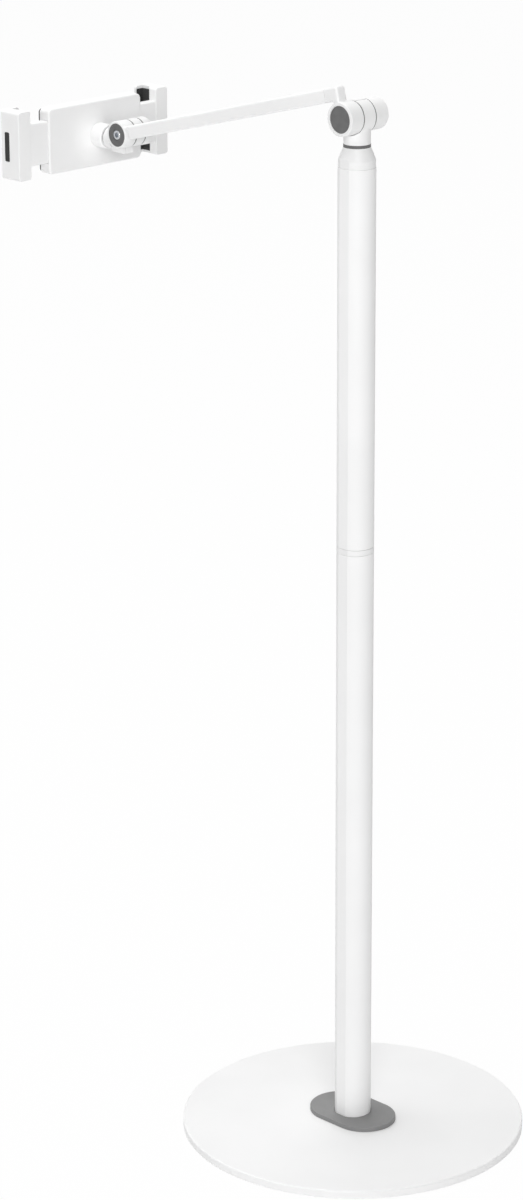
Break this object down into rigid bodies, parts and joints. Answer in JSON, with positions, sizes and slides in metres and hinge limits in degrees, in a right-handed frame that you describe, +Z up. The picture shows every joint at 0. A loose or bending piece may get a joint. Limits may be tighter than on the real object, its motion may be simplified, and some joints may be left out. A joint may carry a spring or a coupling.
{
  "type": "tablet floor stand",
  "caption": "Floor stand for a tablet: weighted round base, tall two-piece pole, swivelling head, tilting arm and a sprung rack-and-pinion clamp that tilts and rolls.",
  "frame": {"origin": "centre of the underside of the base, on the floor", "axes": "+Z up along the pole; at rest the arm reaches towards -Y; both tilt hinges lie along X, with their dark discs facing +X"},
  "size_m": [0.35, 0.5737, 1.0801],
  "materials": {
    "white_painted_steel": "smooth satin white powder coat",
    "white_painted_casting": "smooth satin white paint on a die casting",
    "white_moulding": "satin white moulded plastic",
    "dark_moulding": "fine-grained dark grey plastic",
    "black_rubber": "matt black rubber",
    "cast_weight": "rough cast iron",
    "bare_aluminium": "turned bare aluminium",
    "zinc_plated_steel": "bright zinc plate",
    "spring_steel": "dark spring steel",
    "natural_nylon": "natural nylon"
  },
  "bodies": {
    "base": {"base_pad": "black_rubber", "base_weight": "cast_weight", "base_cover": "white_painted_steel", "socket_plate": "dark_moulding", "plate_screws": "zinc_plated_steel", "foot_plug": "bare_aluminium", "foot_bolt": "zinc_plated_steel", "lower_tube": "white_painted_steel", "joint_socket": "bare_aluminium", "joint_stud": "white_painted_casting", "upper_tube": "white_painted_steel", "top_adapter": "white_painted_casting", "swivel_ring": "dark_moulding"},
    "head": {"swivel_disc_springs": "spring_steel", "swivel_bolt": "zinc_plated_steel", "swivel_head": "white_painted_casting", "shoulder_bush": "bare_aluminium", "shoulder_washers": "dark_moulding"},
    "arm": {"shoulder_knuckle": "white_painted_casting", "shoulder_disc": "dark_moulding", "shoulder_bolt": "zinc_plated_steel", "shoulder_disc_springs": "spring_steel", "shoulder_nut": "zinc_plated_steel", "shoulder_cap": "white_painted_casting", "arm_tube": "white_painted_steel", "wrist_knuckle": "white_painted_casting", "wrist_ring": "dark_moulding", "wrist_bolt": "zinc_plated_steel", "wrist_spring_washer": "spring_steel", "wrist_nut": "zinc_plated_steel", "wrist_cap": "white_painted_casting"},
    "neck": {"holder_neck": "white_painted_casting", "wrist_bush": "bare_aluminium", "wrist_washers": "dark_moulding", "roll_washer": "natural_nylon", "roll_bolt": "zinc_plated_steel", "roll_disc_springs": "spring_steel"},
    "holder": {"rear_shell": "white_moulding", "front_plate": "white_moulding", "shell_screws": "zinc_plated_steel", "front_pad": "black_rubber"},
    "left_grip": {"left_slide": "white_moulding", "left_rack": "natural_nylon", "left_spring": "spring_steel", "left_jaw": "white_moulding", "left_wall_pad": "black_rubber", "left_lip_pad": "black_rubber", "left_jaw_screws": "zinc_plated_steel"},
    "right_grip": {"right_slide": "white_moulding", "right_rack": "natural_nylon", "right_spring": "spring_steel", "right_jaw": "white_moulding", "right_wall_pad": "black_rubber", "right_lip_pad": "black_rubber", "right_jaw_screws": "zinc_plated_steel"},
    "pinion": {"pinion": "natural_nylon"}
  },
  "joints": [
    {"name": "head_swivel", "type": "hinge", "parent": "base", "child": "head", "pos_m": [0, 0, 1.0229], "axis": [0, 0, 1], "continuous": true},
    {"name": "shoulder_tilt", "type": "hinge", "parent": "head", "child": "arm", "pos_m": [0, 0, 1.0502], "axis": [-1, 0, 0], "range_deg": [-50, 85]},
    {"name": "wrist_tilt", "type": "hinge", "parent": "arm", "child": "neck", "pos_m": [0, -0.31454, 0.99134], "axis": [-1, 0, 0], "range_deg": [-90, 90]},
    {"name": "holder_roll", "type": "hinge", "parent": "neck", "child": "holder", "pos_m": [0, -0.34934, 0.98174], "axis": [0, 1, 0], "continuous": true},
    {"name": "left_jaw_slide", "type": "slide", "parent": "holder", "child": "left_grip", "axis": [1, 0, 0], "range_m": [-0.021, 0.02], "deforming": ["left_spring"]},
    {"name": "right_jaw_slide", "type": "slide", "parent": "holder", "child": "right_grip", "axis": [-1, 0, 0], "range_m": [-0.021, 0.02], "deforming": ["right_spring"]},
    {"name": "pinion_spin", "type": "hinge", "parent": "holder", "child": "pinion", "pos_m": [0, -0.37704, 0.98174], "axis": [0, 1, 0], "range_deg": [-240, 240]}
  ],
  "couplings": [
    {"joint": "right_jaw_slide", "follows": "left_jaw_slide", "ratio": 1},
    {"joint": "pinion_spin", "follows": "left_jaw_slide", "rad_per_m": 166.67}
  ]
}
